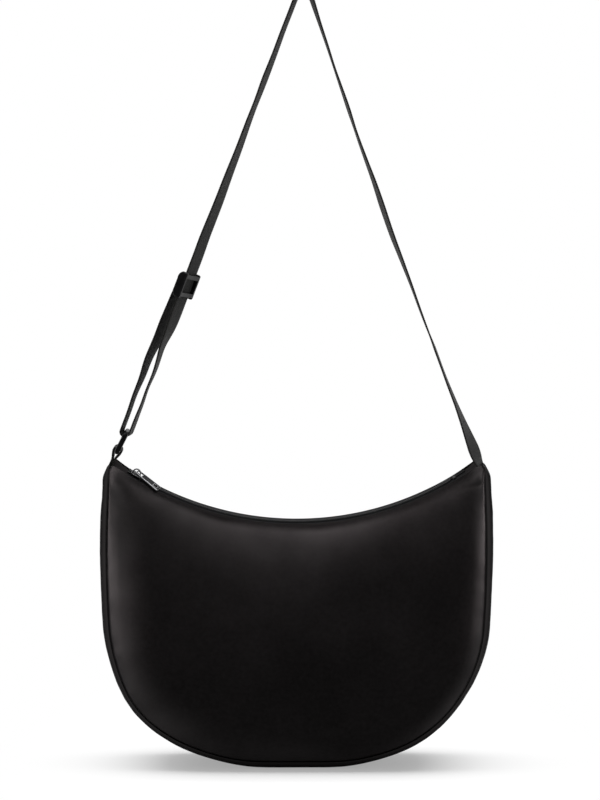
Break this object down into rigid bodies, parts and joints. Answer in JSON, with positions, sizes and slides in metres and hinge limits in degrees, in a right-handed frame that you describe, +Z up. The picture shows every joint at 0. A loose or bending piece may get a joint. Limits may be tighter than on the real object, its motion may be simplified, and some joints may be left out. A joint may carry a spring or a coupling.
{
  "type": "half moon shoulder bag",
  "caption": "Crescent-topped nylon shoulder bag with a curved zip, a gusset round sides and base, and an adjustable webbing strap drawn up over a support.",
  "frame": {"origin": "underside of the strap at its top, where a hook or hand carries it", "axes": "+X to the right as seen from the front, +Y to the back, +Z up; the front faces -Y"},
  "size_m": [0.3936, 0.0988, 0.7748],
  "materials": {
    "shell": "black nylon with a soft sheen",
    "lining": "plain black lining",
    "tape": "black woven zip tape",
    "teeth": "black moulded teeth",
    "webbing": "black ribbed webbing",
    "hardware": "dark gunmetal, satin"
  },
  "bodies": {
    "strap": {"shoulder_strap": "webbing", "strap_right_end": "webbing", "strap_ring_loop": "webbing", "strap_return_ply": "webbing"},
    "bag": {"front_panel": "shell", "back_panel": "shell", "gusset": "shell", "front_lining": "lining", "back_lining": "lining", "gusset_lining": "lining", "zip_tape_front": "tape", "zip_tape_back": "tape", "zip_teeth_front": "teeth", "zip_teeth_back": "teeth", "zip_top_stops": "hardware", "zip_bottom_stop": "hardware", "zip_end_left": "shell", "zip_end_right": "shell", "left_tab": "webbing"},
    "slider": {"slider_body": "hardware", "slider_crown": "hardware"},
    "puller": {"pull_tab": "hardware"},
    "ring": {"rectangular_ring": "hardware"},
    "buckle": {"slide_buckle": "hardware", "strap_sewn_end": "webbing"}
  },
  "joints": [
    {"name": "bag_swing", "type": "hinge", "parent": "strap", "child": "bag", "pos_m": [-0.18612, 0, -0.45207], "axis": [0.9994, 0, -0.0348], "range_deg": [-30, 30], "deforming": ["left_tab", "strap_right_end"]},
    {"name": "zip_travel", "type": "hinge", "parent": "bag", "child": "slider", "pos_m": [-0.007, 0, -0.219], "axis": [0, -1, 0], "range_deg": [0, 60], "deforming": ["zip_teeth_front", "zip_teeth_back"]},
    {"name": "pull_flip", "type": "hinge", "parent": "slider", "child": "puller", "pos_m": [-0.16628, -0.00111, -0.47386], "axis": [-0.4355, -0.8515, -0.292], "range_deg": [0, 150]},
    {"name": "ring_tilt", "type": "hinge", "parent": "strap", "child": "ring", "pos_m": [-0.18612, 0, -0.45207], "axis": [0, 1, 0], "range_deg": [-25, 25], "deforming": ["strap_ring_loop"]},
    {"name": "buckle_slide", "type": "slide", "parent": "strap", "child": "buckle", "axis": [0.3577, 0, 0.9338], "range_m": [-0.03, 0.2], "deforming": ["strap_return_ply"]}
  ]
}
